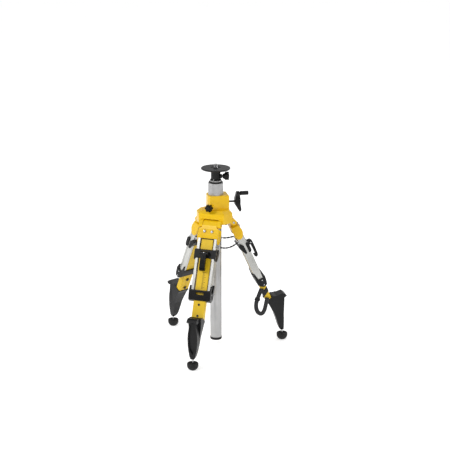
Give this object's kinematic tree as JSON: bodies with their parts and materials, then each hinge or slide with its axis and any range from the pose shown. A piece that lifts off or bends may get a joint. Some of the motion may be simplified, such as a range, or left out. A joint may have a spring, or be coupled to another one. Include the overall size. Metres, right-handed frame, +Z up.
{
  "type": "surveyor tripod",
  "caption": "Crank-up surveying tripod: folding telescopic legs with lever clamps, a geared centre column and a round plate with an instrument screw.",
  "frame": {"origin": "on the floor under the axis of the centre column", "axes": "+Z up along the column; the front leg points along -Y and the other two are at 120 degrees to it"},
  "size_m": [0.5485, 0.4866, 0.785],
  "materials": {
    "yellow_enamel": "satin enamel over a casting",
    "yellow_anodised": "satin powder coat on an extrusion",
    "satin_aluminium": "satin anodised",
    "bright_steel": "bright zinc plate",
    "black_steel": "black oxide",
    "bronze": "turned bronze",
    "black_nylon": "moulded glass-filled nylon",
    "black_casting": "matt powder coat over a casting",
    "black_rubber": "moulded rubber",
    "black_webbing": "woven webbing"
  },
  "bodies": {
    "head": {"head_casting": "yellow_enamel", "casting_screws": "black_steel", "gear_housing": "yellow_enamel", "shaft_bushes": "bronze", "column_sleeve": "satin_aluminium", "wiper_ring": "black_nylon", "chains": "bright_steel"},
    "leg_front": {"bracket_front": "yellow_enamel", "hinge_pin_front": "bright_steel", "bracket_rivets_front": "bright_steel", "rails_front": "satin_aluminium", "crossbar_front": "bright_steel", "clamp_body_front": "black_nylon", "lever_pin_front": "bright_steel", "lower_band_front": "black_nylon"},
    "lever_front": {"clamp_lever_front": "black_nylon"},
    "inner_front": {"inner_profile_front": "yellow_anodised", "foot_front": "black_casting", "foot_stud_front": "bright_steel"},
    "pad_front": {"rubber_foot_front": "black_rubber"},
    "leg_right": {"bracket_right": "yellow_enamel", "hinge_pin_right": "bright_steel", "bracket_rivets_right": "bright_steel", "rails_right": "satin_aluminium", "crossbar_right": "bright_steel", "clamp_body_right": "black_nylon", "lever_pin_right": "bright_steel", "lower_band_right": "black_nylon"},
    "lever_right": {"clamp_lever_right": "black_nylon"},
    "inner_right": {"inner_profile_right": "yellow_anodised", "foot_right": "black_casting", "foot_stud_right": "bright_steel", "carry_strap": "black_webbing"},
    "pad_right": {"rubber_foot_right": "black_rubber"},
    "leg_left": {"bracket_left": "yellow_enamel", "hinge_pin_left": "bright_steel", "bracket_rivets_left": "bright_steel", "rails_left": "satin_aluminium", "crossbar_left": "bright_steel", "clamp_body_left": "black_nylon", "lever_pin_left": "bright_steel", "lower_band_left": "black_nylon"},
    "lever_left": {"clamp_lever_left": "black_nylon"},
    "inner_left": {"inner_profile_left": "yellow_anodised", "foot_left": "black_casting", "foot_stud_left": "bright_steel"},
    "pad_left": {"rubber_foot_left": "black_rubber"},
    "column": {"column_tube": "satin_aluminium", "column_rack": "bright_steel", "column_cap": "black_nylon", "column_neck": "black_nylon"},
    "plate": {"head_plate": "black_casting", "instrument_screw": "bright_steel"},
    "crank": {"crank_shaft": "black_steel", "drive_pinion": "bright_steel", "crank_arm": "black_nylon"},
    "grip": {"crank_grip": "black_nylon"},
    "column_lock": {"column_lock_knob": "black_nylon"},
    "neck_lock": {"neck_lock_knob": "black_nylon"}
  },
  "joints": [
    {"name": "leg_front_fold", "type": "hinge", "parent": "head", "child": "leg_front", "pos_m": [0, -0.0665, 0.545], "axis": [1, 0, 0], "range_deg": [0, 22], "deforming": ["chains"]},
    {"name": "lever_front_open", "type": "hinge", "parent": "leg_front", "child": "lever_front", "pos_m": [0, -0.14449, 0.44727], "axis": [-1, 0, 0], "range_deg": [0, 100]},
    {"name": "inner_front_slide", "type": "slide", "parent": "leg_front", "child": "inner_front", "axis": [0, -0.4067, -0.9135], "range_m": [0, 0.18]},
    {"name": "pad_front_turn", "type": "hinge", "parent": "inner_front", "child": "pad_front", "pos_m": [0, -0.289, 0.02], "axis": [0, 0, 1], "continuous": true},
    {"name": "leg_right_fold", "type": "hinge", "parent": "head", "child": "leg_right", "pos_m": [0.05759, 0.03325, 0.545], "axis": [-0.5, 0.866, 0], "range_deg": [0, 22], "deforming": ["chains"]},
    {"name": "lever_right_open", "type": "hinge", "parent": "leg_right", "child": "lever_right", "pos_m": [0.12513, 0.07225, 0.44727], "axis": [0.5, -0.866, 0], "range_deg": [0, 100]},
    {"name": "inner_right_slide", "type": "slide", "parent": "leg_right", "child": "inner_right", "axis": [0.3522, 0.2034, -0.9135], "range_m": [0, 0.18]},
    {"name": "pad_right_turn", "type": "hinge", "parent": "inner_right", "child": "pad_right", "pos_m": [0.25028, 0.1445, 0.02], "axis": [0, 0, 1], "continuous": true},
    {"name": "leg_left_fold", "type": "hinge", "parent": "head", "child": "leg_left", "pos_m": [-0.05759, 0.03325, 0.545], "axis": [-0.5, -0.866, 0], "range_deg": [0, 22], "deforming": ["chains"]},
    {"name": "lever_left_open", "type": "hinge", "parent": "leg_left", "child": "lever_left", "pos_m": [-0.12513, 0.07225, 0.44727], "axis": [0.5, 0.866, 0], "range_deg": [0, 100]},
    {"name": "inner_left_slide", "type": "slide", "parent": "leg_left", "child": "inner_left", "axis": [-0.3522, 0.2034, -0.9135], "range_m": [0, 0.18]},
    {"name": "pad_left_turn", "type": "hinge", "parent": "inner_left", "child": "pad_left", "pos_m": [-0.25028, 0.1445, 0.02], "axis": [0, 0, 1], "continuous": true},
    {"name": "column_lift", "type": "slide", "parent": "head", "child": "column", "axis": [0, 0, 1], "range_m": [0, 0.36]},
    {"name": "crank_turn", "type": "hinge", "parent": "head", "child": "crank", "pos_m": [-0.01675, 0.02901, 0.615], "axis": [-0.866, -0.5, 0], "range_deg": [0, 1720]},
    {"name": "grip_spin", "type": "hinge", "parent": "crank", "child": "grip", "pos_m": [0.0915, 0.09151, 0.648], "axis": [0.866, 0.5, 0], "continuous": true},
    {"name": "plate_turn", "type": "hinge", "parent": "column", "child": "plate", "pos_m": [0, 0, 0.765], "axis": [0, 0, 1], "continuous": true},
    {"name": "neck_lock_turn", "type": "hinge", "parent": "column", "child": "neck_lock", "pos_m": [0.03782, 0.01302, 0.734], "axis": [0.9455, 0.3256, 0], "range_deg": [0, 360]},
    {"name": "column_lock_turn", "type": "hinge", "parent": "head", "child": "column_lock", "pos_m": [-0.00679, -0.06464, 0.614], "axis": [-0.1045, -0.9945, 0], "range_deg": [0, 360]}
  ],
  "couplings": [
    {"joint": "crank_turn", "follows": "column_lift", "rad_per_m": 83.333}
  ]
}
